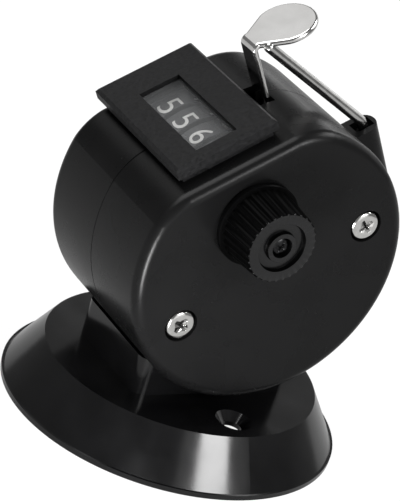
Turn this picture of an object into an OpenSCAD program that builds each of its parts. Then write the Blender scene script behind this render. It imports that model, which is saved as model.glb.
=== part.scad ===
// Desk tally counter: a drum-shaped case lying across a round foot, with a
// tilted number window, a press lever on top and a reset knob on the right.
// Millimetres. Z is up, the origin is the middle of the foot's underside,
// X runs along the wheel shaft to the knob and Y points away from the user.
// The drum's own frame has its origin on the drum's axis: v runs along the
// flat to the back and n stands square on the flat.

/* [Base] */
// Radius of the foot where it stands
base_r = 27.5; // [26.5:0.5:30]
// Radius of the floor at the top of the skirt
floor_r = 22.3; // [22:0.1:23.5]
// Height of the floor
base_h = 8; // [7.5:0.25:9]
// Thickness of the sloping skirt
skirt_wall = 2.2; // [1.8:0.1:2.6]
// Thickness of the floor
floor_wall = 2; // [1.75:0.25:2.5]
// Length of the saddle along the drum
saddle_x = 20; // [19:0.5:21]
// Width of the saddle across the drum
saddle_y = 28; // [26.5:0.5:28.5]
// Height of the saddle's sides above the floor
saddle_rise = 6.1; // [5.5:0.1:6.3]
// Distance of each desk screw hole from the middle
desk_hole_x = 17.5; // [17:0.1:18]
// Radius of the desk screw holes
desk_hole_r = 1.6; // [1.5:0.1:1.9]
// Radius of the countersinks on the floor
desk_head_r = 2.9; // [2.7:0.1:3.1]

/* [Drum] */
// Radius of the drum
drum_r = 23; // [22.6:0.1:23.6]
// Width of the drum between its end faces
drum_w = 30; // [29.6:0.2:31]
// Gap between the floor and the lowest line of the drum
drum_lift = 2; // [1.5:0.25:2.5]
// Lean of the window towards the user in degrees
tilt = 32.5; // [28:0.5:36]
// Rounding of the drum's ends
lip_r = 1.8; // [1.6:0.1:2]
// Thickness of the drum's walls
wall = 2; // [1.8:0.1:2.2]
// Depth of the flat below the drum's top
flat_drop = 3.4; // [3.1:0.1:3.6]
// Rounding between the flat and the drum
crease_r = 11; // [9:0.5:12]
// Distance of the case screws from the middle
case_screw_v = 16.3; // [16:0.1:16.6]
// Radius of the case screws' heads
case_head_r = 2.5; // [2.4:0.05:2.7]

/* [Window] */
// Middle of the dial along the flat
dial_v = -0.7; // [-0.9:0.1:-0.5]
// Length of the window frame
frame_l = 27.1; // [26.6:0.1:27.5]
// Width of the window frame
frame_w = 17; // [16.6:0.1:17.2]
// Thickness of the frame's plate
frame_plate = 1.85; // [1.7:0.05:2]
// Height of the neck under the plate
frame_neck = 1.2; // [1.1:0.05:1.4]
// Length of the number window
window_l = 18.4; // [17.6:0.1:18.6]
// Width of the number window
window_w = 6.9; // [6.4:0.1:7.1]
// Thickness of the clear lens
lens_t = 1; // [0.8:0.1:1.1]

/* [Wheels] */
// Radius of the number wheels
wheel_r = 9.4; // [9.2:0.1:9.5]
// Distance from one number wheel to the next
wheel_pitch = 5; // [4.9:0.02:5.02]
// Radius of the wheel shaft
shaft_r = 1.5; // [1.3:0.1:1.6]
// Direction of the carry pinions below the wheel shaft in degrees
pinion_dir = -100; // [-105:1:-95]

/* [Lever] */
// Middle of the lever strip along the flat
strip_v = 10.8; // [10.7:0.05:10.9]
// Width of the lever strip
strip_w = 4.2; // [3.8:0.1:4.6]
// Thickness of the lever's sheet metal
sheet = 1; // [0.9:0.05:1.05]
// Radius of the round finger pad
pad_r = 4.9; // [4.7:0.1:5.2]
// Height of the pad's underside above the flat
pad_rise = 8.7; // [8.5:0.1:9]
// Radius of the lever arm's rod
arm_r = 0.85; // [0.75:0.05:0.9]
// Turn of the lever at the end of a press in degrees
press = 6.5; // [6:0.1:6.5]

/* [Knob] */
// Radius of the knob's flange
knob_flange_r = 6.7; // [6.5:0.1:6.9]
// Radius of the fluted body next to the flange
knob_r = 6; // [5.8:0.05:6.2]
// Length of the knob
knob_l = 7.7; // [7.3:0.1:8]
// Number of flutes
flutes = 30; // [24:1:32]

/* [Hidden] */
$fn = 64;

// Clearances: a pressed seat, a running fit, a sliding fit and a free gap
press_gap = 0.01;
run_gap = 0.05;
slide_gap = 0.1;
free_gap = 0.3;

// Heights and places on the drum
drum_z = base_h + drum_lift + drum_r;
end_x = drum_w / 2;
inner_x = end_x - wall;
inner_r = drum_r - wall;
flat_n = drum_r - flat_drop;
flat_wall = 1.4;
crease_v = sqrt(pow(drum_r - crease_r, 2) - pow(flat_n - crease_r, 2));
crease_n = flat_n - crease_r;
crease_far = (drum_r + crease_r) / (drum_r - crease_r);
crease_proud = 0.03;
rim_h = 0.8;
saddle_corner_r = 2;
seat_gap = 0.02;
seam = 0.12;

// Wheel stack, left to right: thousands, hundreds, tens, units
reading = [5, 5, 6, 3];
wheels_x = -0.4;
shaft_n = flat_n - wheel_r - 0.2;
gear_t = wheel_pitch / 10;
rim_x0 = gear_t + slide_gap / 2;
rim_w = wheel_pitch - 2 * rim_x0;
ratchet_t = 1.5;
units_hub_r = 2.4;
shaft_boss_r = 3.2;
shaft_shoulder_r = 2.2;
collar_x1 = wheels_x - 2 * wheel_pitch + rim_x0 - 0.25;

// Carry gears: 20 teeth on the wheels, 8 on the pinions
gear_teeth = 20;
pinion_teeth = 8;
gear_module = wheel_r * 0.0851;
gear_angle = 25;
gear_r = gear_teeth * gear_module / 2;
pinion_r = pinion_teeth * gear_module / 2;
gear_tip_r = gear_r + 0.625 * gear_module;
gear_root_r = gear_r - 1.125 * gear_module;
pinion_tip_r = pinion_r + 0.8125 * gear_module;
pinion_root_r = pinion_r - 0.875 * gear_module;
tooth_play = 0.175 * gear_module;
pinion_v = dial_v + (gear_r + pinion_r) * cos(pinion_dir);
pinion_n = shaft_n + (gear_r + pinion_r) * sin(pinion_dir);
pinion_pin_r = 0.8;

// Ratchet, pawl and detent
ratchet_teeth = 10;
ratchet_tip_r = 4.9;
ratchet_root_r = 3.6;
ratchet_phase = 6;
ratchet_x = wheels_x + wheel_pitch + rim_x0 + rim_w + slide_gap;
pawl_x = ratchet_x + 0.2;
pawl_w = 1.1;
pawl_tip_v = dial_v + 4.1;
pawl_tip_n = shaft_n + 0.57;
leaf_t = 0.4;
leaf_v = dial_v - 4.4;
leaf_tip_n = shaft_n - 0.56;
leaf_foot_n = shaft_n - 9.2;
units_end_x = ratchet_x + ratchet_t;

// Window frame and lens
frame_x = -1.85;
frame_inset = 0.8;
frame_chamfer = 0.5;
frame_top = flat_n + frame_neck + frame_plate;
window_x = 0.3;
window_v = dial_v - 0.55;
lens_margin = 0.6;
lens_top = frame_top - 0.8;
dial_half = wheel_r - 2.8;
dial_x1 = wheels_x + 2 * wheel_pitch + 0.7;
rail_t = 1.2;

// Lever
strip_x = 0.4;
strip_front = strip_v - sheet / 2;
strip_back = strip_v + sheet / 2;
bend_in = 0.3;
neck_l = 1.1;
pad_n = flat_n + pad_rise;
pad_v = strip_back + pad_r + neck_l;
foot_gap = 0.5;
foot_n0 = shaft_n + 2.6;
foot_n1 = sqrt(inner_r * inner_r - strip_back * strip_back) - foot_gap;
foot_x0 = strip_x - strip_w / 2 - 1.9;
foot_x1 = pawl_x + pawl_w + 0.3;
slot_side = 0.6;
pivot_v = drum_r + 1.6;
pivot_n = 5;
arm_top_v = strip_back + 1.5;
arm_bend_v = pivot_v + 0.2;
arm_bend_n = pivot_n + 2.6;
eye_r = 1.3;
eye_w = 2 * arm_r + 0.2;
pin_r = 0.7;
lug_w = 4.8;
lug_round = 2.3;
arm_x = lug_w / 2 + 0.7;
lug_back = pivot_v + eye_r + 1;
lug_top = pivot_n + 2.2;
lug_bottom = pivot_n - 8.5;
slot_front = strip_front - (flat_n - pivot_n) * sin(press) - 0.4;

// Return spring
tab_l = 3.6;
spring_x = 3.4;
spring_v = strip_back + 1.9;
spring_r = 1.2;
spring_wire_r = 0.28;
spring_turns = 6;
shelf_n = 4;
spring_h = foot_n0 - shelf_n - 2 * spring_wire_r - 2 * seat_gap;
spring_gap = spring_h / spring_turns - 2 * spring_wire_r;
echo(spring_gap = spring_gap);

// Screws
case_screw_n = -1.1;
case_screw_r = 1.25;
case_head_h = 1.8;
case_pocket = 1.5;
case_boss_r = 3.4;
pocket_gap = 0.2;
knob_gap = 0.25;
knob_web = 0.6;
knob_screw_r = 0.7;
knob_head_r = 1.5;
knob_head_h = 1.1;
base_screw_x = 6;
base_screw_r = 1.25;
base_boss_r = 2.8;
base_head_r = 2.5;
base_head_h = 1.8;
base_screw_reach = 6;
base_screw_top = base_h + drum_lift + base_screw_reach;

// Places its children in the drum's frame
module in_drum() {
    translate([0, 0, drum_z])
        rotate([tilt, 0, 0])
            children();
}

// Turns a form drawn in v and n, standing on the plane x, along X
module along_x(x, v, n) {
    translate([x, v, n])
        rotate([90, 0, 90])
            children();
}

// Block in the drum's frame between two corners
module block(x0, x1, v0, v1, n0, n1) {
    translate([x0, v0, n0])
        cube([x1 - x0, v1 - v0, n1 - n0]);
}

// Rounded rectangle about the origin
module rounded_rect(a, b, r) {
    square([a - 2 * r, b], center = true);
    square([a, b - 2 * r], center = true);
    for (sx = [-1, 1])
        for (sy = [-1, 1])
            translate([sx * (a / 2 - r), sy * (b / 2 - r)])
                circle(r = r);
}

// Cross recess of a screw head, sunk from the height of its top
module cross_recess(reach, depth) {
    for (turn = [0, 90])
        rotate([0, 0, turn + 20])
            translate([-reach, -reach * 0.19, -depth])
                cube([2 * reach, reach * 0.38, depth + 1]);
}

// Solid drum lying along X about the line through v and n, with rounded ends
module rounded_drum(v, n, r, half) {
    along_x(0, v, n)
        rotate_extrude() {
            translate([0, -half])
                square([r - lip_r, 2 * half]);
            translate([0, lip_r - half])
                square([r, 2 * (half - lip_r)]);
            for (s = [-1, 1])
                translate([r - lip_r, s * (half - lip_r)])
                    circle(r = lip_r);
        }
}

// Sector about the middle of the rounding at one end of the flat
module crease_sector(side) {
    along_x(-drum_w, 0, 0)
        linear_extrude(height = 2 * drum_w)
            polygon([[side * crease_v, crease_n],
                     [side * crease_v, crease_n + 2 * crease_r],
                     [side * crease_v * crease_far, crease_n * crease_far + 2 * crease_r],
                     [side * crease_v * crease_far, crease_n * crease_far]]);
}

// Sharp corner that the rounding takes away. It stands a hair proud, so that
// it crosses the flat and the drum and doesn't only touch them.
module crease(side) {
    difference() {
        crease_sector(side);
        rounded_drum(side * (crease_v + crease_proud / 2), crease_n + crease_proud, crease_r,
                     end_x + crease_proud / 2);
    }
}

// Closed outer form of the drum with its flat
module drum_body() {
    difference() {
        flat_drum();
        for (s = [-1, 1])
            crease(s);
    }
}

// Drum with its flat, before the corners are rounded
module flat_drum() {
    intersection() {
        rounded_drum(0, 0, drum_r, end_x);
        rotate([90, 0, 0])
            linear_extrude(height = 2 * drum_r + 2, center = true) {
                translate([-end_x - 1, -drum_r - 1])
                    square([drum_w + 2, drum_r + 1]);
                translate([-end_x, -1])
                    square([drum_w, flat_n - lip_r + 1]);
                translate([lip_r - end_x, -1])
                    square([drum_w - 2 * lip_r, flat_n + 1]);
                for (s = [-1, 1])
                    translate([s * (end_x - lip_r), flat_n - lip_r])
                        circle(r = lip_r);
            }
    }
}

// Space inside the drum
module cavity() {
    intersection() {
        along_x(-inner_x, 0, 0)
            cylinder(r = inner_r, h = 2 * inner_x);
        block(-drum_w, drum_w, -drum_r, drum_r, -drum_r, flat_n - flat_wall);
    }
}

// Dial opening in the flat and the slot for the lever strip
module flat_openings() {
    block(-inner_x, dial_x1, dial_v - dial_half, dial_v + dial_half,
          flat_n - 3 * flat_wall, flat_n + 1);
    block(strip_x - strip_w / 2 - slot_side, strip_x + strip_w / 2 + slot_side,
          slot_front, strip_back + 0.4, flat_n - 4 * flat_wall, flat_n + 4);
}

// Fine groove round the drum where the two halves meet
module seam_groove() {
    along_x(0, 0, 0)
        rotate_extrude()
            polygon([[drum_r - seam, 0], [drum_r + 1, -seam - 1], [drum_r + 1, seam + 1]]);
    rotate([90, 0, 0])
        linear_extrude(height = 2 * drum_r, center = true)
            polygon([[0, flat_n - seam], [seam + 1, flat_n + 1], [-seam - 1, flat_n + 1]]);
    for (s = [-1, 1])
        intersection() {
            crease_sector(s);
            along_x(0, s * crease_v, crease_n)
                rotate_extrude()
                    polygon([[crease_r - seam, 0], [crease_r + 1, -seam - 1], [crease_r + 1, seam + 1]]);
        }
}

// Boss for a base screw, standing upright on the drum's bottom wall
module base_boss(side) {
    intersection() {
        translate([side * base_screw_x, 0, 0])
            cylinder(r = base_boss_r, h = base_screw_top + 1.5);
        translate([-end_x, 0, drum_z])
            rotate([0, 90, 0])
                cylinder(r = drum_r - wall / 2, h = drum_w);
    }
}

// Hole for a base screw
module base_screw_hole(side) {
    translate([side * base_screw_x, 0, 0])
        cylinder(r = base_screw_r + run_gap, h = base_screw_top + 0.5);
}

// Round foot with a sloping skirt, hollow below, and the saddle for the drum
module base() {
    color([0.02, 0.02, 0.022])
        difference() {
            union() {
                difference() {
                    union() {
                        cylinder(r = base_r, h = rim_h);
                        translate([0, 0, rim_h])
                            cylinder(r1 = base_r - 0.4, r2 = floor_r, h = base_h - rim_h);
                    }
                    translate([0, 0, -0.5])
                        cylinder(r1 = base_r - skirt_wall, r2 = floor_r - skirt_wall,
                                 h = base_h - floor_wall + 0.5);
                }
                translate([0, 0, base_h - floor_wall / 2])
                    linear_extrude(height = saddle_rise + floor_wall / 2)
                        rounded_rect(saddle_x, saddle_y, saddle_corner_r);
            }
            translate([-end_x, 0, drum_z])
                rotate([0, 90, 0])
                    cylinder(r = drum_r + seat_gap, h = drum_w);
            for (s = [-1, 1]) {
                translate([s * desk_hole_x, 0, -1])
                    cylinder(r = desk_hole_r, h = base_h + 2);
                translate([s * desk_hole_x, 0, base_h - desk_head_r + desk_hole_r])
                    cylinder(r1 = desk_hole_r, r2 = desk_head_r, h = desk_head_r - desk_hole_r);
                base_screw_hole(s);
            }
        }
}

// Left half of the drum with the blind bearings of both shafts
module left_shell() {
    color([0.05, 0.05, 0.055])
        difference() {
            union() {
                in_drum() {
                    difference() {
                        drum_body();
                        cavity();
                        seam_groove();
                        block(0, drum_w, -2 * drum_r, 2 * drum_r, -2 * drum_r, 2 * drum_r);
                    }
                    for (s = [-1, 1])
                        along_x(-inner_x - wall / 2, s * case_screw_v, case_screw_n)
                            cylinder(r = case_boss_r, h = inner_x + wall / 2);
                    along_x(-inner_x - wall / 2, dial_v, shaft_n)
                        cylinder(r = shaft_boss_r, h = collar_x1 + inner_x + wall / 2);
                    along_x(-inner_x - wall / 2, pinion_v, pinion_n)
                        cylinder(r = 2.5 * pinion_pin_r, h = wall + 1);
                }
                base_boss(-1);
            }
            in_drum() {
                flat_openings();
                for (s = [-1, 1])
                    along_x(-inner_x + 1.5, s * case_screw_v, case_screw_n)
                        cylinder(r = case_screw_r + run_gap, h = inner_x);
                along_x(-inner_x - wall / 2 - slide_gap, dial_v, shaft_n)
                    cylinder(r = shaft_r + run_gap, h = inner_x);
                along_x(-inner_x - wall / 2 - slide_gap, pinion_v, pinion_n)
                    cylinder(r = pinion_pin_r + press_gap, h = inner_x);
            }
            base_screw_hole(-1);
        }
}

// Lug at the back of the right half, with rounded outer corners
module lug() {
    translate([0, 0, lug_bottom])
        linear_extrude(height = lug_top - lug_bottom) {
            translate([arm_x - lug_w / 2, drum_r - 6])
                square([lug_w, lug_back - lug_round - drum_r + 6]);
            translate([arm_x, lug_back - 1.1 * lug_round])
                rounded_rect(lug_w, 2.2 * lug_round, lug_round);
        }
}

// Right half of the drum with the lug, the spring shelf and the detent post
module right_shell() {
    color([0.05, 0.05, 0.055])
        difference() {
            union() {
                in_drum() {
                    difference() {
                        union() {
                            difference() {
                                drum_body();
                                seam_groove();
                            }
                            lug();
                        }
                        cavity();
                        block(-drum_w, 0, -2 * drum_r, 2 * drum_r, -2 * drum_r, 2 * drum_r);
                    }
                    for (s = [-1, 1])
                        along_x(0, s * case_screw_v, case_screw_n)
                            cylinder(r = case_boss_r, h = inner_x + wall / 2);
                    along_x(units_end_x + 0.4, dial_v, shaft_n)
                        cylinder(r = shaft_boss_r, h = inner_x + wall / 2 - units_end_x - 0.4);
                    along_x(inner_x - 2, pinion_v, pinion_n)
                        cylinder(r = 2.5 * pinion_pin_r, h = wall + 1);
                    block(spring_x - 2.4, spring_x + 2.4, spring_v - 1.9, inner_r + wall / 2 - 1,
                          shelf_n - 2, shelf_n);
                    block(ratchet_x, inner_x + wall / 2, leaf_v - 1.4, leaf_v + 1.4,
                          leaf_foot_n - 0.8, leaf_foot_n + 2.4);
                }
                base_boss(1);
            }
            in_drum() {
                flat_openings();
                for (s = [-1, 1]) {
                    along_x(-1, s * case_screw_v, case_screw_n)
                        cylinder(r = case_screw_r + slide_gap, h = drum_w);
                    along_x(end_x - case_pocket, s * case_screw_v, case_screw_n)
                        cylinder(r = case_head_r + pocket_gap, h = case_pocket + 1);
                }
                along_x(1, dial_v, shaft_n)
                    cylinder(r = shaft_r + run_gap, h = drum_w);
                along_x(1, pinion_v, pinion_n)
                    cylinder(r = pinion_pin_r + press_gap, h = inner_x + wall / 2 + slide_gap - 1);
                block(arm_x - eye_w / 2 - free_gap, arm_x + eye_w / 2 + free_gap,
                      pivot_v - eye_r - free_gap, pivot_v + eye_r + free_gap,
                      pivot_n - eye_r - free_gap, lug_top + 1);
                along_x(arm_x - lug_w / 2 - 1, pivot_v, pivot_n)
                    cylinder(r = pin_r + press_gap, h = lug_w + 0.4);
                block(ratchet_x - 1, units_end_x, leaf_v - leaf_t / 2 - press_gap,
                      leaf_v + leaf_t / 2 + press_gap, leaf_foot_n, leaf_foot_n + 3);
            }
            base_screw_hole(1);
        }
}

// Raised frame on the flat, with a neck, two locating rails and the lens seat
module window_frame() {
    color([0.06, 0.06, 0.065])
        in_drum()
            difference() {
                union() {
                    intersection() {
                        rotate([90, 0, 0])
                            linear_extrude(height = 3 * frame_w, center = true)
                                polygon(plate_outline(frame_x, frame_l));
                        along_x(-frame_l, 0, 0)
                            linear_extrude(height = 2 * frame_l)
                                polygon(plate_outline(dial_v, frame_w));
                    }
                    block(frame_x - frame_l / 2 + frame_inset, frame_x + frame_l / 2 - frame_inset,
                          dial_v - frame_w / 2 + frame_inset, dial_v + frame_w / 2 - frame_inset,
                          flat_n, frame_top - frame_plate / 2);
                    for (s = [-1, 1])
                        translate([0, dial_v + s * (dial_half - slide_gap - rail_t / 2), flat_n - 0.1])
                            cube([18, rail_t, 3], center = true);
                }
                block(window_x - window_l / 2, window_x + window_l / 2,
                      window_v - window_w / 2, window_v + window_w / 2, flat_n - 1, frame_top + 1);
                block(window_x - window_l / 2 - lens_margin - press_gap,
                      window_x + window_l / 2 + lens_margin + press_gap,
                      window_v - window_w / 2 - lens_margin - press_gap,
                      window_v + window_w / 2 + lens_margin + press_gap, flat_n - 1, lens_top);
            }
}

// Chamfered section of the frame's plate along one side
function plate_outline(mid, size) = [
    [mid - size / 2, frame_top - frame_plate],
    [mid + size / 2, frame_top - frame_plate],
    [mid + size / 2, frame_top - frame_chamfer],
    [mid + size / 2 - frame_chamfer, frame_top],
    [mid - size / 2 + frame_chamfer, frame_top],
    [mid - size / 2, frame_top - frame_chamfer]];

// Clear plate under the window
module window_lens() {
    color([0.8, 0.85, 0.88, 0.4])
        in_drum()
            block(window_x - window_l / 2 - lens_margin, window_x + window_l / 2 + lens_margin,
                  window_v - window_w / 2 - lens_margin, window_v + window_w / 2 + lens_margin,
                  lens_top - lens_t, lens_top);
}

// Point at a radius and an angle
function polar(r, a) = [r * cos(a), r * sin(a)];

// Involute angle in degrees where the flank of a base circle meets a radius
function involute(rb, r) =
    let (a = acos(min(1, rb / r)))
    tan(a) * 180 / PI - a;

// Outline of one tooth about the angle 0
function tooth(teeth, tip_r, root_r) =
    let (r = teeth * gear_module / 2)
    let (rb = r * cos(gear_angle))
    let (half = 90 / teeth - tooth_play / r * 90 / PI + involute(rb, r))
    let (radii = [for (k = [0:4]) rb + (tip_r - rb) * k / 4])
    concat([polar(root_r, -half)],
           [for (q = radii) polar(q, involute(rb, q) - half)],
           [for (k = [4:-1:0]) polar(radii[k], half - involute(rb, radii[k]))],
           [polar(root_r, half)]);

// A point list turned about the origin
function turned(points, a) = [
    for (p = points) [p[0] * cos(a) - p[1] * sin(a), p[0] * sin(a) + p[1] * cos(a)]];

// Outline of a whole gear
function gear(teeth, tip_r, root_r) = [
    for (k = [0:teeth - 1])
        for (p = turned(tooth(teeth, tip_r, root_r), k * 360 / teeth)) p];

// Number wheel with its bore; gears are added on its sides
module wheel_blank(place) {
    x = wheels_x + (place - 2) * wheel_pitch;
    along_x(x + rim_x0, dial_v, shaft_n)
        difference() {
            cylinder(r = wheel_r, h = rim_w);
            translate([0, 0, -1])
                difference() {
                    cylinder(r = gear_root_r - 0.5, h = rim_w / 2 + 1);
                    cylinder(r = shaft_boss_r, h = rim_w);
                }
        }
}

// Gear of 20 teeth on the right side of a wheel, in step with its pinion
module wheel_gear(place) {
    x = wheels_x + (place - 2) * wheel_pitch;
    along_x(x + rim_x0 + rim_w - 0.1, dial_v, shaft_n)
        rotate([0, 0, pinion_dir])
            linear_extrude(height = gear_t + 0.1)
                polygon(gear(gear_teeth, gear_tip_r, gear_root_r));
}

// Pair of carry teeth on the left side of a wheel, met between 9 and 0
module wheel_carry(place) {
    x = wheels_x + (place - 2) * wheel_pitch;
    first = floor((9.5 - reading[place]) * 2);
    along_x(x + slide_gap / 2, dial_v, shaft_n) {
        difference() {
            cylinder(r = gear_root_r + 0.05, h = gear_t + 0.1);
            translate([0, 0, -1])
                cylinder(r = gear_root_r - 0.5, h = gear_t + 3);
        }
        for (k = [first, first + 1])
            rotate([0, 0, pinion_dir + k * 360 / gear_teeth])
                linear_extrude(height = gear_t + 0.1)
                    polygon(tooth(gear_teeth, gear_tip_r, gear_root_r - 0.2));
    }
}

// Bore through a wheel for the shaft
module wheel_bore() {
    along_x(-drum_w, dial_v, shaft_n)
        cylinder(r = shaft_r + run_gap, h = 2 * drum_w);
}

module thousands_wheel() {
    color([0.13, 0.13, 0.14])
        in_drum()
            difference() {
                union() {
                    wheel_blank(0);
                    wheel_gear(0);
                }
                wheel_bore();
            }
}

module hundreds_wheel() {
    color([0.13, 0.13, 0.14])
        in_drum()
            difference() {
                union() {
                    wheel_blank(1);
                    wheel_gear(1);
                    wheel_carry(1);
                }
                wheel_bore();
            }
}

module tens_wheel() {
    color([0.13, 0.13, 0.14])
        in_drum()
            difference() {
                union() {
                    wheel_blank(2);
                    wheel_gear(2);
                    wheel_carry(2);
                }
                wheel_bore();
            }
}

// The units wheel has a longer hub on the right that carries the ratchet
module units_wheel() {
    color([0.13, 0.13, 0.14])
        in_drum()
            difference() {
                union() {
                    wheel_blank(3);
                    wheel_carry(3);
                    along_x(ratchet_x - 1, dial_v, shaft_n)
                        cylinder(r = units_hub_r, h = ratchet_t + 1);
                }
                wheel_bore();
            }
}

// Ten saw teeth, pushed down at the back by the pawl
module ratchet_wheel() {
    step = 360 / ratchet_teeth;
    color([0.6, 0.58, 0.5])
        in_drum()
            along_x(ratchet_x, dial_v, shaft_n)
                difference() {
                    linear_extrude(height = ratchet_t)
                        polygon([for (k = [0:ratchet_teeth - 1])
                                 for (r = [ratchet_tip_r, ratchet_root_r])
                                 polar(r, ratchet_phase + k * step)]);
                    translate([0, 0, -1])
                        cylinder(r = units_hub_r + press_gap, h = ratchet_t + 2);
                }
}

// Plain band on the left bearing, level with the wheels
module end_collar() {
    color([0.13, 0.13, 0.14])
        in_drum()
            along_x(-inner_x + slide_gap, dial_v, shaft_n)
                difference() {
                    cylinder(r = wheel_r, h = collar_x1 + inner_x - slide_gap);
                    translate([0, 0, -1])
                        cylinder(r = shaft_boss_r + press_gap, h = wheel_pitch * 2);
                }
}

// Steel shaft with a shoulder on the right and a screw hole in its end
module wheel_shaft() {
    x0 = -inner_x - wall / 2;
    x1 = end_x + knob_gap + knob_l - knob_head_h - 0.3 - knob_web;
    color([0.62, 0.62, 0.64])
        in_drum()
            difference() {
                union() {
                    along_x(x0, dial_v, shaft_n)
                        cylinder(r = shaft_r, h = x1 - x0);
                    along_x(units_end_x + 0.1, dial_v, shaft_n)
                        cylinder(r = shaft_shoulder_r, h = 0.2);
                }
                along_x(x1 - 4, dial_v, shaft_n)
                    cylinder(r = knob_screw_r + press_gap, h = 5);
            }
}

// Fixed pin that carries the three carry pinions
module pinion_shaft() {
    color([0.62, 0.62, 0.64])
        in_drum()
            along_x(-inner_x - wall / 2, pinion_v, pinion_n)
                cylinder(r = pinion_pin_r, h = 2 * inner_x + wall);
}

// Pinion of eight teeth between the wheels at a place and the next one
module carry_pinion(place) {
    x = wheels_x + (place - 2) * wheel_pitch + rim_x0 + rim_w;
    color([0.75, 0.72, 0.62])
        in_drum()
            along_x(x + 0.07, pinion_v, pinion_n)
                difference() {
                    rotate([0, 0, pinion_dir + 180 + 180 / pinion_teeth])
                        linear_extrude(height = 2 * rim_x0 - 0.14)
                            polygon(gear(pinion_teeth, pinion_tip_r, pinion_root_r));
                    translate([0, 0, -1])
                        cylinder(r = pinion_pin_r + run_gap, h = 4);
                }
}

module carry_pinion_1() {
    carry_pinion(2);
}

module carry_pinion_2() {
    carry_pinion(1);
}

module carry_pinion_3() {
    carry_pinion(0);
}

// Finger on the lever's foot whose tip stands on a ratchet tooth
module drive_pawl() {
    color([0.66, 0.66, 0.68])
        in_drum()
            along_x(pawl_x, 0, 0)
                linear_extrude(height = pawl_w)
                    polygon([[strip_front, foot_n0 + 0.4],
                             [strip_front, foot_n0 + 2.4],
                             [strip_front - 0.9, foot_n0 + 2.4],
                             [pawl_tip_v + 0.9, pawl_tip_n + 1],
                             [pawl_tip_v, pawl_tip_n + 0.35],
                             [pawl_tip_v, pawl_tip_n],
                             [pawl_tip_v + 0.9, pawl_tip_n + 0.05],
                             [strip_front - 1.1, foot_n0 + 0.4]]);
}

// Thin leaf in the detent post whose end stands under a ratchet tooth
module detent_leaf() {
    color([0.66, 0.66, 0.68])
        in_drum()
            block(ratchet_x + 0.2, units_end_x - 0.1, leaf_v - leaf_t / 2, leaf_v + leaf_t / 2,
                  leaf_foot_n + seat_gap, leaf_tip_n);
}

// Bent sheet metal: round pad, upright strip, wide foot and the spring tab
module thumb_lever() {
    x0 = strip_x - strip_w / 2;
    color([0.78, 0.78, 0.79])
        in_drum() {
            along_x(x0, 0, 0)
                linear_extrude(height = strip_w) {
                    translate([strip_front, foot_n0])
                        square([sheet, pad_n - bend_in - foot_n0]);
                    intersection() {
                        translate([strip_back + bend_in, pad_n - bend_in])
                            difference() {
                                circle(r = sheet + bend_in);
                                circle(r = bend_in);
                            }
                        translate([strip_front, pad_n - bend_in])
                            square(sheet + bend_in);
                    }
                }
            translate([0, 0, pad_n])
                linear_extrude(height = sheet) {
                    translate([strip_x, pad_v])
                        circle(r = pad_r);
                    polygon([[x0, strip_back + bend_in],
                             [x0 + strip_w, strip_back + bend_in],
                             [strip_x + pad_r * 0.86, pad_v - pad_r * 0.5],
                             [strip_x - pad_r * 0.86, pad_v - pad_r * 0.5]]);
                }
            block(foot_x0, foot_x1, strip_front, strip_back, foot_n0, foot_n1);
            block(spring_x - 2.2, spring_x + 2.2, strip_front, strip_back + tab_l,
                  foot_n0, foot_n0 + sheet);
        }
}

// Rod from the pad's underside to the pivot eye, bent just above the lug
module lever_arm() {
    run_v = arm_bend_v - arm_top_v;
    run_n = pad_n - arm_bend_n;
    fall_v = pivot_v - arm_bend_v;
    fall_n = arm_bend_n - pivot_n;
    color([0.72, 0.72, 0.73])
        in_drum()
            difference() {
                union() {
                    translate([arm_x, arm_bend_v, arm_bend_n])
                        rotate([atan2(run_v, run_n), 0, 0])
                            cylinder(r = arm_r, h = norm([run_v, run_n]) + 2);
                    translate([arm_x, arm_bend_v, arm_bend_n])
                        sphere(r = arm_r * 1.06);
                    translate([arm_x, pivot_v, pivot_n])
                        rotate([atan2(fall_v, fall_n), 0, 0])
                            cylinder(r = arm_r, h = norm([fall_v, fall_n]));
                    along_x(arm_x - eye_w / 2, pivot_v, pivot_n)
                        cylinder(r = eye_r, h = eye_w);
                }
                block(arm_x - 5, arm_x + 5, 0, drum_r, pad_n, pad_n + 8);
                along_x(arm_x - 5, pivot_v, pivot_n)
                    cylinder(r = pin_r + run_gap, h = 10);
            }
}

// Pin pressed into the lug from its left side
module lever_pin() {
    color([0.62, 0.62, 0.64])
        in_drum()
            along_x(arm_x - lug_w / 2 + 0.1, pivot_v, pivot_n)
                cylinder(r = pin_r, h = lug_w - 0.8);
}

// Coil between the shelf and the lever's tab, one round wire
module return_spring() {
    steps = 20;
    sides = 10;
    count = spring_turns * steps;
    slope = atan2(spring_h, 2 * PI * spring_r * spring_turns);
    points = [for (i = [0:count])
              for (j = [0:sides - 1])
              let (a = i * 360 / steps)
              let (b = j * 360 / sides)
              let (r = spring_r + spring_wire_r * cos(b))
              let (w = spring_wire_r * sin(b))
              [r * cos(a) + w * sin(slope) * sin(a),
               r * sin(a) - w * sin(slope) * cos(a),
               spring_h * i / count + w * cos(slope)]];
    sideways = [for (i = [0:count - 1])
                for (j = [0:sides - 1])
                [i * sides + j, (i + 1) * sides + j,
                 (i + 1) * sides + (j + 1) % sides, i * sides + (j + 1) % sides]];
    ends = [[for (j = [0:sides - 1]) j],
            [for (j = [sides - 1:-1:0]) count * sides + j]];
    color([0.7, 0.7, 0.72])
        in_drum()
            translate([spring_x, spring_v, shelf_n + spring_wire_r + seat_gap])
                polyhedron(points, concat(sideways, ends));
}

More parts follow.
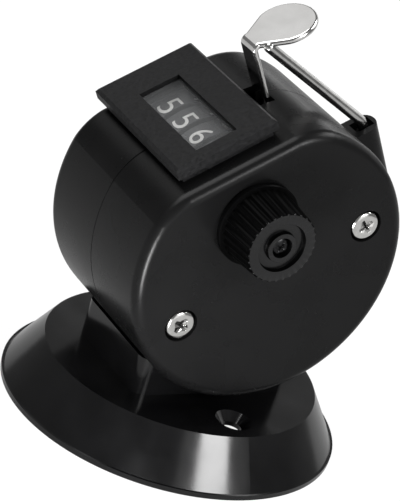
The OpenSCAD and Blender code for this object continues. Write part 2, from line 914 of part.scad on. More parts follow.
// Fluted knob with a flange, a ring groove and a seat for its screw
module reset_knob() {
    seat = knob_l - knob_head_h - 0.3;
    color([0.03, 0.03, 0.032])
        in_drum()
            along_x(end_x + knob_gap, dial_v, shaft_n)
                difference() {
                    union() {
                        cylinder(r = knob_flange_r, h = 1);
                        difference() {
                            translate([0, 0, 0.5])
                                cylinder(r = knob_r, h = knob_l - 0.5);
                            for (k = [0:flutes - 1])
                                rotate([0, 0, k * 360 / flutes])
                                    translate([knob_r + 0.15, 0, 0])
                                        cylinder(r = 0.45, h = knob_l + 1);
                        }
                    }
                    translate([0, 0, knob_l - 0.8])
                        difference() {
                            cylinder(r = knob_r * 0.56, h = 2);
                            translate([0, 0, -1])
                                cylinder(r = knob_r * 0.37, h = 4);
                        }
                    translate([0, 0, seat])
                        cylinder(r = knob_head_r + slide_gap, h = 3);
                    translate([0, 0, -1])
                        cylinder(r = knob_screw_r + slide_gap, h = knob_l);
                    translate([0, 0, -1])
                        cylinder(r = shaft_r + press_gap, h = seat - knob_web + 1);
                }
}

// Cross-head screw that holds the knob on the shaft
module knob_screw() {
    x = end_x + knob_gap + knob_l - knob_head_h - 0.3;
    color([0.12, 0.12, 0.13])
        in_drum()
            along_x(x, dial_v, shaft_n)
                difference() {
                    union() {
                        cylinder(r = knob_head_r, h = knob_head_h);
                        translate([0, 0, -4])
                            cylinder(r = knob_screw_r, h = 4.5);
                    }
                    translate([0, 0, knob_head_h])
                        cross_recess(knob_head_r * 0.6, 0.6);
                }
}

// Two pan-head screws through the right half into the left half
module case_screws() {
    color([0.75, 0.74, 0.7])
        in_drum()
            for (s = [-1, 1])
                along_x(end_x - case_pocket, s * case_screw_v, case_screw_n)
                    difference() {
                        union() {
                            cylinder(r = case_head_r, h = case_head_h * 0.6);
                            translate([0, 0, case_head_h * 0.6])
                                cylinder(r1 = case_head_r, r2 = case_head_r - 0.6, h = case_head_h * 0.4);
                            translate([0, 0, 2 - end_x - inner_x + case_pocket])
                                cylinder(r = case_screw_r, h = end_x + inner_x - case_pocket - 1.5);
                        }
                        translate([0, 0, case_head_h])
                            cross_recess(case_head_r * 0.6, 1);
                    }
}

// Two screws from below that hold one half of the drum each
module base_screws() {
    color([0.75, 0.74, 0.7])
        for (s = [-1, 1])
            translate([s * base_screw_x, 0, base_h - floor_wall - base_head_h])
                difference() {
                    union() {
                        cylinder(r = base_head_r, h = base_head_h);
                        cylinder(r = base_screw_r, h = base_screw_top - base_h + floor_wall + base_head_h);
                    }
                    rotate([180, 0, 0])
                        cross_recess(base_head_r * 0.6, 1);
                }
}

base();
left_shell();
right_shell();
window_frame();
window_lens();
thousands_wheel();
hundreds_wheel();
tens_wheel();
units_wheel();
ratchet_wheel();
end_collar();
wheel_shaft();
pinion_shaft();
carry_pinion_1();
carry_pinion_2();
carry_pinion_3();
drive_pawl();
detent_leaf();
thumb_lever();
lever_arm();
lever_pin();
return_spring();
reset_knob();
knob_screw();
case_screws();
base_screws();
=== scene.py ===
import math

import bmesh
import bpy
from mathutils import Matrix, Quaternion, Vector


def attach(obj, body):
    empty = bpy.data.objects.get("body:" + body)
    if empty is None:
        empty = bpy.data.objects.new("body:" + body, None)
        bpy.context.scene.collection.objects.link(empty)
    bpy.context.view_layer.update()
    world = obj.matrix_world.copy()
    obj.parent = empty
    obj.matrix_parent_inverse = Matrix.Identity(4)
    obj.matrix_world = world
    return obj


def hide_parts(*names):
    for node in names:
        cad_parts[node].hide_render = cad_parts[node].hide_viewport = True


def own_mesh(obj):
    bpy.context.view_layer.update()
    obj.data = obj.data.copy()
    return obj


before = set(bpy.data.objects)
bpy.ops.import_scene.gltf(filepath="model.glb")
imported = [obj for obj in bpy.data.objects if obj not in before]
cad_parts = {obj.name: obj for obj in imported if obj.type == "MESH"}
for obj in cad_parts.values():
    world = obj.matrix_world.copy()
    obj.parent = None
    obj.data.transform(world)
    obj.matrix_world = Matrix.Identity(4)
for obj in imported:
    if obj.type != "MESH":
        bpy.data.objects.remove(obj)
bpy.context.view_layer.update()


# The foot is one injection moulding in gloss black plastic: a sloping skirt,
# a flat floor and the saddle that the drum is screwed to from below.
# The mould was polished, so it mirrors the table and the saddle.
def mottled_skin(name, deep, pale, smooth, rough, patch, detail, low, high):
    material = bpy.data.materials.new(name)
    material.use_nodes = True
    nodes, links = material.node_tree.nodes, material.node_tree.links
    skin = nodes["Principled BSDF"]
    place = nodes.new("ShaderNodeTexCoord")
    flow = nodes.new("ShaderNodeTexNoise")
    flow.inputs["Scale"].default_value = patch
    flow.inputs["Detail"].default_value = detail
    tone = nodes.new("ShaderNodeValToRGB")
    for stop, spot, colour in zip(tone.color_ramp.elements, (low, high), (deep, pale)):
        stop.position = spot
        stop.color = (*colour, 1)
    polish = nodes.new("ShaderNodeMapRange")
    polish.inputs["From Min"].default_value = 0.3
    polish.inputs["From Max"].default_value = 0.7
    polish.inputs["To Min"].default_value = smooth
    polish.inputs["To Max"].default_value = rough
    links.new(place.outputs["Object"], flow.inputs["Vector"])
    links.new(flow.outputs["Fac"], tone.inputs["Fac"])
    links.new(flow.outputs["Fac"], polish.inputs["Value"])
    links.new(tone.outputs["Color"], skin.inputs["Base Color"])
    links.new(polish.outputs["Result"], skin.inputs["Roughness"])
    return material


def moulded_plastic(name, deep, pale, smooth, rough, shine, grain, relief, patch=160):
    material = mottled_skin(name, deep, pale, smooth, rough, patch, detail=5, low=0.3, high=0.72)
    nodes, links = material.node_tree.nodes, material.node_tree.links
    skin = nodes["Principled BSDF"]
    skin.inputs["Specular IOR Level"].default_value = shine
    place = nodes.new("ShaderNodeTexCoord")
    texture = nodes.new("ShaderNodeTexNoise")
    texture.inputs["Scale"].default_value = grain
    texture.inputs["Detail"].default_value = 3
    bump = nodes.new("ShaderNodeBump")
    bump.inputs["Strength"].default_value = 0.6
    bump.inputs["Distance"].default_value = relief
    links.new(place.outputs["Object"], texture.inputs["Vector"])
    links.new(texture.outputs["Fac"], bump.inputs["Height"])
    links.new(bump.outputs["Normal"], skin.inputs["Normal"])
    return material


def dress(material, *names):
    for name in names:
        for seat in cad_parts[name].material_slots:
            seat.material = material


gloss_black = moulded_plastic(
    "gloss_black", deep=(0.0012, 0.0012, 0.0013), pale=(0.0025, 0.0025, 0.0027),
    smooth=0.12, rough=0.19, shine=0.34, grain=900, relief=0.000004)
dress(gloss_black, "base")


# The drum is two satin black half shells that meet in a fine seam. The mould
# was lightly blasted, so the plastic has a very fine grain and a soft sheen.
# Two long screws through the right half pull them together.
satin_black = moulded_plastic(
    "satin_black", deep=(0.0033, 0.0033, 0.0034), pale=(0.0042, 0.0042, 0.0043),
    smooth=0.25, rough=0.31, shine=0.11, grain=5200, relief=0.000005)
dress(satin_black, "left_shell", "right_shell")


# The window frame is a separate black cover on the drum's flat, with a
# coarser, mottled moulded texture than the drum's. Two rails below hold it.
frame_black = moulded_plastic(
    "frame_black", deep=(0.0055, 0.0055, 0.0057), pale=(0.0125, 0.0125, 0.013),
    smooth=0.36, rough=0.48, shine=0.07, grain=1700, relief=0.00016, patch=1700)
dress(frame_black, "window_frame")


# The window is a small plate of clear plastic, pressed into the frame from
# below. It has a faint uneven grey haze from handling.
clear_plastic = bpy.data.materials.new("clear")
clear_plastic.use_nodes = True
pane_nodes, pane_links = clear_plastic.node_tree.nodes, clear_plastic.node_tree.links
pane = pane_nodes["Principled BSDF"]
pane.inputs["Base Color"].default_value = (0.26, 0.265, 0.27, 1)
pane.inputs["Specular IOR Level"].default_value = 0.5
pane_place = pane_nodes.new("ShaderNodeTexCoord")
haze = pane_nodes.new("ShaderNodeTexNoise")
haze.inputs["Scale"].default_value = 420
haze.inputs["Detail"].default_value = 4
pane_links.new(pane_place.outputs["Object"], haze.inputs["Vector"])
for socket, least, most in (("Alpha", 0.09, 0.17), ("Roughness", 0.06, 0.18)):
    amount = pane_nodes.new("ShaderNodeMapRange")
    amount.inputs["To Min"].default_value = least
    amount.inputs["To Max"].default_value = most
    pane_links.new(haze.outputs["Fac"], amount.inputs["Value"])
    pane_links.new(amount.outputs["Result"], pane.inputs[socket])
dress(clear_plastic, "window_lens")


# The number wheels and the band beside them are charcoal plastic, moulded
# with the carry gears in one piece. They run loose on the steel shaft.
wheel_grey = moulded_plastic(
    "wheel_grey", deep=(0.034, 0.0345, 0.0355), pale=(0.05, 0.0505, 0.0515),
    smooth=0.45, rough=0.6, shine=0.3, grain=2600, relief=0.00001)
dress(wheel_grey, "thousands_wheel", "hundreds_wheel", "tens_wheel", "units_wheel", "end_collar")


# The digits are printed on the wheels in off-white ink, ten to a wheel, in a
# thin round hand. The next digit stands nearer the user, so a count brings
# it up to the window from the front.
tilt = math.radians(32.5)
drum = Matrix.Translation((0, 0, 0.033)) @ Matrix.Rotation(tilt, 4, "X")


def placed(name, form, material, where=drum, crease=35):
    form.transform(where)
    mesh = bpy.data.meshes.new(name)
    form.to_mesh(mesh)
    form.free()
    mesh.shade_smooth()
    mesh.set_sharp_from_angle(angle=math.radians(crease))
    mesh.materials.append(material)
    piece = bpy.data.objects.new(name, mesh)
    bpy.context.scene.collection.objects.link(piece)
    return piece


def digit_shape(number, tall, wide, bands=12):
    letter = bpy.data.curves.new("digit", "FONT")
    letter.body = str(number)
    letter.offset = -0.004
    letter.resolution_u = 6
    holder = bpy.data.objects.new("digit", letter)
    bpy.context.scene.collection.objects.link(holder)
    flat = bpy.data.meshes.new_from_object(
        holder.evaluated_get(bpy.context.evaluated_depsgraph_get()))
    bpy.data.objects.remove(holder)
    shape = bmesh.new()
    shape.from_mesh(flat)
    bpy.data.meshes.remove(flat)
    bmesh.ops.remove_doubles(shape, verts=shape.verts, dist=0.001)
    across = [v.co.x for v in shape.verts]
    along = [v.co.y for v in shape.verts]
    stretch = tall / (max(along) - min(along))
    narrow = stretch if number == 1 else wide / (max(across) - min(across))
    centre = Vector((max(across) + min(across), max(along) + min(along), 0)) / 2
    bmesh.ops.translate(shape, verts=shape.verts, vec=-centre)
    bmesh.ops.scale(shape, verts=shape.verts, vec=(narrow, stretch, 1))
    for band in range(bands):
        bmesh.ops.bisect_plane(
            shape, geom=shape.verts[:] + shape.edges[:] + shape.faces[:],
            plane_co=(0, tall * (band / (bands - 1) - 0.5), 0), plane_no=(0, 1, 0))
    bmesh.ops.dissolve_degenerate(shape, edges=shape.edges[:], dist=0.000002)
    return shape


ink = mottled_skin(
    "digit_ink", deep=(0.6, 0.595, 0.575), pale=(0.76, 0.755, 0.735),
    smooth=0.55, rough=0.55, patch=2500, detail=2, low=0, high=1)

wheel_r, dial_v, shaft_n = 0.0094, -0.0007, 0.01
first_digit_x, wheel_pitch = -0.0073, 0.005
digit_tall, digit_wide = 0.0038, 0.0025
digit_turn, reading_turn = math.radians(36), 0.035
ink_lift, ink_thick = 0.00003, 0.00005
print_r = wheel_r + ink_lift
readings = (("thousands", 5), ("hundreds", 5), ("tens", 6), ("units", 3))
for place, (body, reading) in enumerate(readings):
    middle = first_digit_x + place * wheel_pitch
    print_ring = bmesh.new()
    for step in range(10):
        shape = digit_shape((reading + step) % 10, digit_tall, digit_wide)
        for v in shape.verts:
            turn = digit_turn * step - v.co.y / wheel_r + reading_turn
            v.co = Vector((
                middle + v.co.x, dial_v - print_r * math.sin(turn), shaft_n + print_r * math.cos(turn)))
        one_digit = bpy.data.meshes.new("digit")
        shape.to_mesh(one_digit)
        shape.free()
        print_ring.from_mesh(one_digit)
        bpy.data.meshes.remove(one_digit)
    bmesh.ops.solidify(print_ring, geom=print_ring.faces[:], thickness=ink_thick)
    digits = placed("digits_" + body, print_ring, ink)
    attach(digits, body)


# The works inside are plain: turned steel shafts and pin, a brass ratchet,
# three moulded carry pinions, a sprung pawl finger and a steel leaf.
def bare_metal(name, deep, pale, smooth, rough, grain):
    material = mottled_skin(name, deep, pale, smooth, rough, grain, detail=6, low=0.3, high=0.7)
    material.node_tree.nodes["Principled BSDF"].inputs["Metallic"].default_value = 1
    return material


turned_steel = bare_metal(
    "steel", deep=(0.5, 0.5, 0.52), pale=(0.6, 0.6, 0.62), smooth=0.2, rough=0.34, grain=900)
stamped_brass = bare_metal(
    "brass", deep=(0.56, 0.44, 0.2), pale=(0.66, 0.54, 0.28), smooth=0.22, rough=0.38, grain=700)
pinion_white = moulded_plastic(
    "pinion_white", deep=(0.66, 0.64, 0.58), pale=(0.74, 0.72, 0.66),
    smooth=0.35, rough=0.5, shine=0.5, grain=1800, relief=0.000008)
dress(turned_steel, "wheel_shaft", "pinion_shaft", "lever_pin", "drive_pawl", "detent_leaf")
dress(stamped_brass, "ratchet_wheel")
dress(pinion_white, "carry_pinion_1", "carry_pinion_2", "carry_pinion_3")


# The return spring is six turns of hard round wire that stand on a shelf in
# the right shell and lift the lever by its tab. A press shortens the real spring a little; this coil keeps
# one length, fixed to the case.
wire_r, coil_r, coil_h = 0.00028, 0.0012, 0.008
turns, steps_per_turn = 6, 40
coil_foot = Vector((0.0034, 0.0132, 0.0043))
coil = bmesh.new()
bmesh.ops.create_circle(coil, segments=16, radius=wire_r)
bmesh.ops.rotate(coil, verts=coil.verts, matrix=Matrix.Rotation(math.radians(90), 3, "X"))
bmesh.ops.translate(coil, verts=coil.verts, vec=(coil_r, 0, 0))
bmesh.ops.spin(
    coil, geom=coil.verts[:] + coil.edges[:], cent=(0, 0, 0), axis=(0, 0, 1),
    dvec=(0, 0, coil_h / (turns * steps_per_turn)), angle=math.radians(360 * turns),
    steps=turns * steps_per_turn, use_duplicate=False)
bmesh.ops.holes_fill(coil, edges=coil.edges[:], sides=20)
bmesh.ops.recalc_face_normals(coil, faces=coil.faces)
return_coil = placed("return_coil", coil, turned_steel, drum @ Matrix.Translation(coil_foot))
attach(return_coil, "case")
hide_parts("return_spring")
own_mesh(return_coil)


# The thumb lever is one pressing of nickel-plated sheet: a round finger pad,
# folded over to the upright strip that goes down through the flat, and a wide
# foot inside with a tab for the spring. Its edges are tumbled round.
polished_nickel = bare_metal(
    "nickel", deep=(0.6, 0.595, 0.585), pale=(0.67, 0.665, 0.655), smooth=0.08, rough=0.15, grain=260)

sheet, edge_r, foot_edge = 0.001, 0.00047, 0.0003
pad_x, pad_v, pad_r, pad_top = 0.0004, 0.0173, 0.0049, 0.0293
neck_v = pad_v - pad_r * 0.49
fold_v, strip_half, strip_end = 0.0116, 0.0021, 0.0162
bend_r, bend_steps = 0.0008, 8
bend_length = bend_r * math.pi / 2
strip_length = pad_top - sheet / 2 - bend_r - strip_end
lever_foot = Vector((-0.0036, 0.0103, 0.0126)), Vector((0.01075, 0.0113, 0.0172))
spring_tab = Vector((0.0012, 0.0113, 0.0126)), Vector((0.0056, 0.0149, 0.0136))

lever = bmesh.new()
bmesh.ops.create_circle(
    lever, segments=72, radius=pad_r, matrix=Matrix.Translation((pad_x, pad_v, pad_top)))
bmesh.ops.delete(lever, geom=[v for v in lever.verts if v.co.y < neck_v], context="VERTS")
tips = [v for v in lever.verts if len(v.link_edges) == 1]
for reach_v in (fold_v, fold_v - bend_length - strip_length):
    tips = bmesh.ops.extrude_vert_indiv(lever, verts=tips)["verts"]
    for v in tips:
        v.co.x = pad_x + math.copysign(strip_half, v.co.x - pad_x)
        v.co.y = reach_v
bmesh.ops.contextual_create(lever, geom=tips)
bmesh.ops.contextual_create(lever, geom=lever.edges[:])
pressed = bmesh.ops.extrude_face_region(lever, geom=lever.faces[:])["geom"]
underside = [g for g in pressed if isinstance(g, bmesh.types.BMVert)]
bmesh.ops.translate(lever, verts=underside, vec=(0, 0, -sheet))
bmesh.ops.recalc_face_normals(lever, faces=lever.faces)
sheet_edges = [e for f in lever.faces if len(f.verts) > 20 for e in f.edges]
bmesh.ops.bevel(
    lever, geom=sheet_edges, offset=edge_r, offset_type="OFFSET", segments=6,
    profile=0.5, affect="EDGES", material=-1)
bmesh.ops.inset_individual(
    lever, faces=[f for f in lever.faces if len(f.verts) > 20], thickness=0.00006)
folds = [fold_v - bend_length * (k + 0.5) / bend_steps for k in range(bend_steps)]
for line_v in folds:
    bmesh.ops.bisect_plane(
        lever, geom=lever.verts[:] + lever.edges[:] + lever.faces[:], dist=1e-7,
        plane_co=(0, line_v, 0), plane_no=(0, 1, 0))
flat_v = {v: v.co.y for v in lever.verts}
for line_v in reversed(folds):
    bmesh.ops.rotate(
        lever, verts=[v for v in lever.verts if flat_v[v] < line_v - 1e-6],
        cent=(0, line_v, pad_top - sheet / 2),
        matrix=Matrix.Rotation(math.radians(90) / bend_steps, 3, "X"))
for low, high in (lever_foot, spring_tab):
    block = bmesh.ops.create_cube(
        lever, size=1,
        matrix=Matrix.Translation((low + high) / 2) @ Matrix.Diagonal((*(high - low), 1)))["verts"]
    bmesh.ops.bevel(
        lever, geom=list({e for v in block for e in v.link_edges}), offset=foot_edge,
        offset_type="OFFSET", segments=3, profile=0.5, affect="EDGES", material=-1)
thumb_plate = placed("thumb_plate", lever, polished_nickel)
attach(thumb_plate, "lever")
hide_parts("thumb_lever")


# The lever's arm is a bright round rod with a domed end, welded under the pad.
# It runs down behind the drum, bends into the lug's slot and turns there on
# a pin through its eye.
drawn_nickel = bare_metal(
    "drawn_nickel", deep=(0.44, 0.436, 0.428), pale=(0.52, 0.516, 0.508), smooth=0.16, rough=0.24, grain=700)

rod_r, bend_round, arm_x = 0.00085, 0.003, 0.0031
top = Vector((arm_x, 0.0128, 0.0284))
bend = Vector((arm_x, 0.0248, 0.0076))
eye = Vector((arm_x, 0.0246, 0.005))
eye_half, eye_r, pin_bore, eye_edge = 0.00095, 0.0013, 0.00076, 0.0001
eye_gap = 0.0011
dome_steps, dome_turn = 5, math.radians(16)
run, fall = (bend - top).normalized(), (eye - bend).normalized()
sweep = run.angle(fall)
tangent = bend_round * math.tan(sweep / 2)
bend_start = bend - run * tangent
inward = (fall - run * run.dot(fall)).normalized()


def drawn_on(form, ring, step):
    grown = bmesh.ops.extrude_edge_only(form, edges=ring)["geom"]
    bmesh.ops.translate(form, verts=[g for g in grown if isinstance(g, bmesh.types.BMVert)], vec=step)
    return [g for g in grown if isinstance(g, bmesh.types.BMEdge)]


rod = bmesh.new()
bmesh.ops.create_circle(
    rod, segments=32, radius=rod_r,
    matrix=Matrix.Translation(top) @ run.to_track_quat("Z", "X").to_matrix().to_4x4())
top_ring = rod.edges[:]
dome_ring = top_ring
for k in range(dome_steps):
    rise = math.sin(dome_turn * (k + 1)) - math.sin(dome_turn * k)
    dome_ring = drawn_on(rod, dome_ring, -run * rod_r * rise)
    ring_verts = list({v for e in dome_ring for v in e.verts})
    ring_middle = sum((v.co for v in ring_verts), Vector()) / len(ring_verts)
    shrink = math.cos(dome_turn * (k + 1)) / math.cos(dome_turn * k)
    bmesh.ops.scale(
        rod, verts=ring_verts, vec=(shrink, shrink, shrink), space=Matrix.Translation(-ring_middle))
ring = drawn_on(rod, top_ring, bend_start - top)
bent = bmesh.ops.spin(
    rod, geom=ring + list({v for e in ring for v in e.verts}), cent=bend_start + inward * bend_round,
    axis=run.cross(fall).normalized(), dvec=(0, 0, 0), angle=sweep, steps=10, use_duplicate=False)
ring = [g for g in bent["geom_last"] if isinstance(g, bmesh.types.BMEdge)]
drawn_on(rod, ring, eye - bend - fall * (tangent + eye_gap))
bmesh.ops.holes_fill(rod, edges=rod.edges[:], sides=40)
eye_corners = [rod.verts.new((arm_x + x, eye.y, eye.z + r)) for x, r in (
    (-eye_half, pin_bore), (-eye_half, eye_r - eye_edge), (eye_edge - eye_half, eye_r),
    (eye_half - eye_edge, eye_r), (eye_half, eye_r - eye_edge), (eye_half, pin_bore))]
eye_outline = [rod.edges.new(pair) for pair in zip(eye_corners, eye_corners[1:] + eye_corners[:1])]
bmesh.ops.spin(
    rod, geom=eye_corners + eye_outline, cent=(0, eye.y, eye.z), axis=(1, 0, 0), dvec=(0, 0, 0),
    angle=math.radians(360), steps=40, use_merge=True, use_duplicate=False)
bmesh.ops.remove_doubles(rod, verts=rod.verts, dist=1e-6)
bmesh.ops.recalc_face_normals(rod, faces=rod.faces)
lever_rod = placed("lever_rod", rod, drawn_nickel)
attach(lever_rod, "lever")
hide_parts("lever_arm")


# The reset knob is black plastic with thirty flutes, drawn in a little to its
# end so that it leaves the mould, and a flange that hides the bearing. A ring
# groove round the hub keeps the end face flat, and its outlines are in mm.
knob_black = moulded_plastic(
    "knob_black", deep=(0.0014, 0.0014, 0.0015), pale=(0.0028, 0.0028, 0.003),
    smooth=0.2, rough=0.3, shine=0.36, grain=3000, relief=0.000006)
# The flutes take a darker copy of the knob's black that hardly reflects: painted shade for the dark the
# flutes face and hold between them. The end face keeps the plain black.
flute_painted_shade = moulded_plastic(
    "flute_painted_shade", deep=(0.0008, 0.0008, 0.0008), pale=(0.0016, 0.0016, 0.0017),
    smooth=0.24, rough=0.34, shine=0.012, grain=3000, relief=0.000006)
shaftwise = Matrix(((0, 0, 1, 0), (1, 0, 0, 0), (0, 1, 0, 0), (0, 0, 0, 1)))


def turned_form(outline, steps, closed=True):
    form = bmesh.new()
    corners = [form.verts.new((r * 0.001, 0, h * 0.001)) for r, h in outline]
    line = [form.edges.new(pair) for pair in zip(corners, corners[1:])]
    if closed:
        line.append(form.edges.new((corners[-1], corners[0])))
    bmesh.ops.spin(
        form, geom=corners + line, cent=(0, 0, 0), axis=(0, 0, 1), dvec=(0, 0, 0),
        angle=math.radians(360), steps=steps, use_merge=True, use_duplicate=False)
    bmesh.ops.remove_doubles(form, verts=form.verts, dist=1e-7)
    bmesh.ops.recalc_face_normals(form, faces=form.faces)
    return form


knob_x = 0.01525
flange = ((1.51, 0), (6.55, 0), (6.7, 0.15), (6.7, 0.8), (6.55, 0.98), (6.3, 1))
grip = ((6.15, 1.05), (6.1, 1.5), (5.68, 7.5), (5.6, 7.64), (5.43, 7.7))
groove = ((3.93, 7.7), (3.89, 7.66), (3.8, 7.05), (3.74, 7),
          (2.46, 7), (2.4, 7.05), (2.36, 7.66), (2.32, 7.7))
screw_seat = ((1.63, 7.7), (1.6, 7.67), (1.6, 6.3), (0.8, 6.3), (0.8, 5.7), (1.51, 5.7))
knob = turned_form(flange + grip + groove + screw_seat, 240)
flute_pitch, flute_r, flute_out, flute_half = 12, 0.00045, 0.00015, 0.00044
flute_low, flute_high, grip_least, grip_mean = 0.00102, 0.00768, 0.0053, 0.006
for v in knob.verts:
    spoke = v.co.xy.length
    if spoke > grip_least and flute_low < v.co.z < flute_high:
        bearing = math.degrees(math.atan2(v.co.y, v.co.x))
        aside = (bearing + flute_pitch / 2) % flute_pitch - flute_pitch / 2
        aside = abs(math.radians(aside)) * grip_mean
        if aside < flute_half:
            depth = math.sqrt(flute_r ** 2 - aside ** 2) - flute_out
            v.co.xy *= 1 - max(depth, 0) / spoke
groove_floor = 0.0069
# Faces on the end face take the plain black; every other face takes the flutes' painted shade.
for face in knob.faces:
    face.normal_update()
    on_end = face.normal.z > 0.9 and face.calc_center_median().z > groove_floor
    face.material_index = 1 if on_end else 0
reset_grip = placed(
    "reset_grip", knob, flute_painted_shade, drum @ Matrix.Translation((knob_x, dial_v, shaft_n)) @ shaftwise)
reset_grip.data.materials.append(knob_black)
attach(reset_grip, "reset")
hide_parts("reset_knob")


# The screws are machine made with cross recesses: two bright nickelled pan heads
# sunk in the end face, whose recesses are painted dark grey as painted shade,
# one small blackened one in the knob and two under the foot that hold the drum. Outlines are in mm.
def cross_screw(name, outline, steps, head_h, reach, deep, where, material, inside, turn):
    form = turned_form(outline, steps, closed=False)
    blade_w, tip_reach, tip_w, over = 0.36, 0.42, 0.75, 0.0001
    cutter = bmesh.new()
    for quarter in range(2):
        blade = bmesh.ops.create_cube(cutter, size=1)["verts"]
        for v in blade:
            long, wide = (tip_reach, tip_w) if v.co.z < 0 else (1, 1)
            v.co = Vector((v.co.x * 2 * reach * long, v.co.y * reach * blade_w * wide,
                           head_h + (v.co.z - 0.5) * deep + over))
        bmesh.ops.rotate(
            cutter, verts=blade, matrix=Matrix.Rotation(math.radians(turn + 90 * quarter), 3, "Z"))
    # The cutter carries the inside material, and the cut faces keep it, so the recess walls take the painted
    # shade where one is given.
    bit = placed("bit", cutter, inside, Matrix.Identity(4))
    screw = placed(name, form, material, Matrix.Identity(4))
    recess = screw.modifiers.new("recess", "BOOLEAN")
    recess.operation = "DIFFERENCE"
    recess.object = bit
    recess.use_self = True
    recess.material_mode = "TRANSFER"
    cut = bpy.data.meshes.new_from_object(screw.evaluated_get(bpy.context.evaluated_depsgraph_get()))
    screw.modifiers.clear()
    screw.data = cut
    bpy.data.objects.remove(bit)
    cut.transform(where)
    return screw


bright_nickel = bare_metal(
    "bright_screw", deep=(0.56, 0.555, 0.54), pale=(0.66, 0.655, 0.64), smooth=0.1, rough=0.16, grain=1100)
blackened = bare_metal(
    "dark_screw", deep=(0.012, 0.012, 0.0125), pale=(0.035, 0.035, 0.036),
    smooth=0.22, rough=0.34, grain=1500)
# A dull dark grey metal for the bright screws' recesses: painted shade for the dark inside the cross.
recess_painted_shade = bare_metal(
    "recess_painted_shade", deep=(0.07, 0.069, 0.067), pale=(0.13, 0.129, 0.126), smooth=0.42, rough=0.56, grain=1600)

pan_head = ((0, 1.62), (1.6, 1.6), (2, 1.54), (2.26, 1.36), (2.43, 1.05), (2.5, 0.6), (2.5, 0))
long_shank = ((1.25, 0), (1.25, -24.2), (0.95, -24.5), (0, -24.5))
case_seat_x, case_seat_n = 0.0135, -0.0011
case_pair = [
    cross_screw(
        f"case_screw_{k}", pan_head + long_shank, steps=64, head_h=0.00162, reach=0.0013, deep=0.0012,
        where=drum @ Matrix.Translation((case_seat_x, v, case_seat_n)) @ shaftwise,
        material=bright_nickel, inside=recess_painted_shade, turn=turn)
    for k, v, turn in ((1, -0.0163, 30), (2, 0.0163, 12))]
for screw in case_pair:
    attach(screw, "case")
    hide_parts("case_screws")

knob_head = ((0, 1.1), (0.7, 1.08), (1.2, 0.96), (1.45, 0.72), (1.5, 0.4), (1.5, 0))
short_shank = ((0.7, 0), (0.7, -3.8), (0.5, -4), (0, -4))
knob_seat_x = 0.02155
knob_fixing = cross_screw(
    "knob_fixing", knob_head + short_shank, steps=40, head_h=0.0011, reach=0.0009, deep=0.0007,
    where=drum @ Matrix.Translation((knob_seat_x, dial_v, shaft_n)) @ shaftwise,
    material=blackened, inside=blackened, turn=35)
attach(knob_fixing, "reset")
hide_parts("knob_screw")

dress(bright_nickel, "base_screws")


# The counter stands on a plain white table that stays white to the camera and
# is dimmer where the gloss mirrors it.
table_form = bmesh.new()
bmesh.ops.create_grid(table_form, x_segments=2, y_segments=2, size=4)
table_white = bpy.data.materials.new("table_white")
table_white.use_nodes = True
table_nodes, table_links = table_white.node_tree.nodes, table_white.node_tree.links
table_skin = table_nodes["Principled BSDF"]
table_skin.inputs["Base Color"].default_value = (0.88, 0.88, 0.88, 1)
table_skin.inputs["Roughness"].default_value = 0.8
glow = table_nodes.new("ShaderNodeEmission")
path = table_nodes.new("ShaderNodeLightPath")
mirrored = table_nodes.new("ShaderNodeMath")
mirrored.operation = "MULTIPLY_ADD"
mirrored.inputs[1].default_value = -0.4
mirrored.inputs[2].default_value = 1
seen = table_nodes.new("ShaderNodeMath")
seen.operation = "MAXIMUM"
seen_through = table_nodes.new("ShaderNodeMath")
seen_through.operation = "MAXIMUM"
share = table_nodes.new("ShaderNodeMath")
share.operation = "MULTIPLY"
share.inputs[1].default_value = 0.9
blend = table_nodes.new("ShaderNodeMixShader")
table_links.new(path.outputs["Is Glossy Ray"], mirrored.inputs[0])
table_links.new(mirrored.outputs["Value"], glow.inputs["Strength"])
table_links.new(path.outputs["Is Camera Ray"], seen.inputs[0])
table_links.new(path.outputs["Is Glossy Ray"], seen.inputs[1])
table_links.new(seen.outputs["Value"], seen_through.inputs[0])
table_links.new(path.outputs["Is Transmission Ray"], seen_through.inputs[1])
table_links.new(seen_through.outputs["Value"], share.inputs[0])
table_links.new(share.outputs["Value"], blend.inputs["Fac"])
table_links.new(table_skin.outputs["BSDF"], blend.inputs[1])
table_links.new(glow.outputs["Emission"], blend.inputs[2])
table_links.new(blend.outputs["Shader"], table_nodes["Material Output"].inputs["Surface"])
table = placed("table", table_form, table_white, Matrix.Identity(4))


# The room is a dim even grey, and soft panels light the counter from the right,
# the left, behind and above. A low strip draws the bright band on the skirt.
room = bpy.data.worlds.new("grey_room")
bpy.context.scene.world = room
room.use_nodes = True
room.node_tree.nodes["Background"].inputs["Color"].default_value = (0.22, 0.22, 0.22, 1)
room.node_tree.nodes["Background"].inputs["Strength"].default_value = 1
lit_point = Vector((0, 0, 0.03))


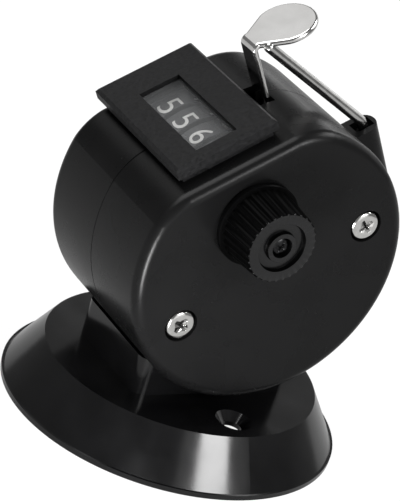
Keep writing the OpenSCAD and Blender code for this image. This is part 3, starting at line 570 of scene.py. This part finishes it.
def soft_panel(name, azimuth, elevation, distance, wide, tall, power):
    lamp = bpy.data.lights.new(name, "AREA")
    lamp.shape = "RECTANGLE"
    lamp.size, lamp.size_y = wide, tall
    lamp.energy = power
    panel = bpy.data.objects.new(name, lamp)
    a, e = math.radians(azimuth), math.radians(elevation)
    away = Vector((math.sin(a) * math.cos(e), -math.cos(a) * math.cos(e), math.sin(e)))
    panel.location = lit_point + away * distance
    panel.rotation_euler = away.to_track_quat("Z", "Y").to_euler()
    panel.visible_camera = False
    bpy.context.scene.collection.objects.link(panel)


soft_panel("right_panel", azimuth=100, elevation=34, distance=0.6, wide=0.2, tall=0.17, power=2.7)
soft_panel("right_glow", azimuth=100, elevation=20, distance=0.7, wide=0.55, tall=0.6, power=1)
soft_panel("left_panel", azimuth=-78, elevation=44, distance=0.6, wide=0.4, tall=0.4, power=0.36)
soft_panel("back_panel", azimuth=-132, elevation=14, distance=0.8, wide=0.8, tall=0.15, power=0.7)
soft_panel("back_glow", azimuth=172, elevation=52, distance=0.7, wide=0.4, tall=0.24, power=3)
soft_panel("back_card", azimuth=184, elevation=22, distance=0.7, wide=0.4, tall=0.3, power=0.3)
soft_panel("top_key", azimuth=-30, elevation=62, distance=0.6, wide=0.4, tall=0.4, power=3)
soft_panel("low_strip", azimuth=51.5, elevation=-20.6, distance=0.0737, wide=0.012, tall=0.05, power=0.13)


# The camera stands at the front right, above the counter, and leans over to
# its left, so the counter stands askew in the picture.
lean = Quaternion((0, 0, 1), math.radians(17.706))
look_at = Vector((-0.000576, -0.002561, 0.027557))
camera = bpy.data.cameras.new("camera")
camera.sensor_width = 36
camera.lens = 160.894
camera.clip_start, camera.clip_end = 0.01, 20
viewer = bpy.data.objects.new("camera", camera)
viewer.location = (0.255046, -0.191138, 0.167644)
viewer.rotation_mode = "QUATERNION"
viewer.rotation_quaternion = (look_at - viewer.location).to_track_quat("-Z", "Y") @ lean
bpy.context.scene.collection.objects.link(viewer)
bpy.context.scene.camera = viewer
bpy.context.scene.view_settings.view_transform = "Standard"

bpy.context.view_layer.update()
